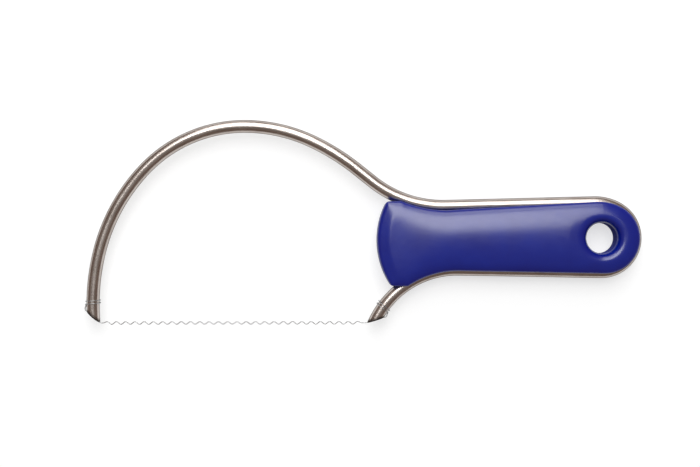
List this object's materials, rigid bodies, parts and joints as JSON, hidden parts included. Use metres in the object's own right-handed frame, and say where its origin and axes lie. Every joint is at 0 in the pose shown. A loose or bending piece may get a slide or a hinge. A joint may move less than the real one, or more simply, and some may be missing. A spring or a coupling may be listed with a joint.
{
  "type": "clay cutting bow",
  "caption": "Bent steel rod sprung round a moulded grip, with a wavy cutting wire stretched across its bevelled tips.",
  "frame": {"origin": "centre of the hanging hole, midway between the grip's two faces", "axes": "+X points along the grip to its round end, +Y from the cutting wire's side to the top of the arch, +Z out of the bow's flat plane along the hanging hole"},
  "size_m": [0.2262, 0.0833, 0.015],
  "materials": {
    "steel": "drawn stainless rod, lightly brushed along its length",
    "grip": "moulded plastic with a soft waxy sheen",
    "wire": "thin bright stainless wire, crimped into waves"
  },
  "bodies": {
    "root": {"frame_rod": "steel", "handle": "grip", "cutting_wire": "wire"}
  },
  "joints": []
}
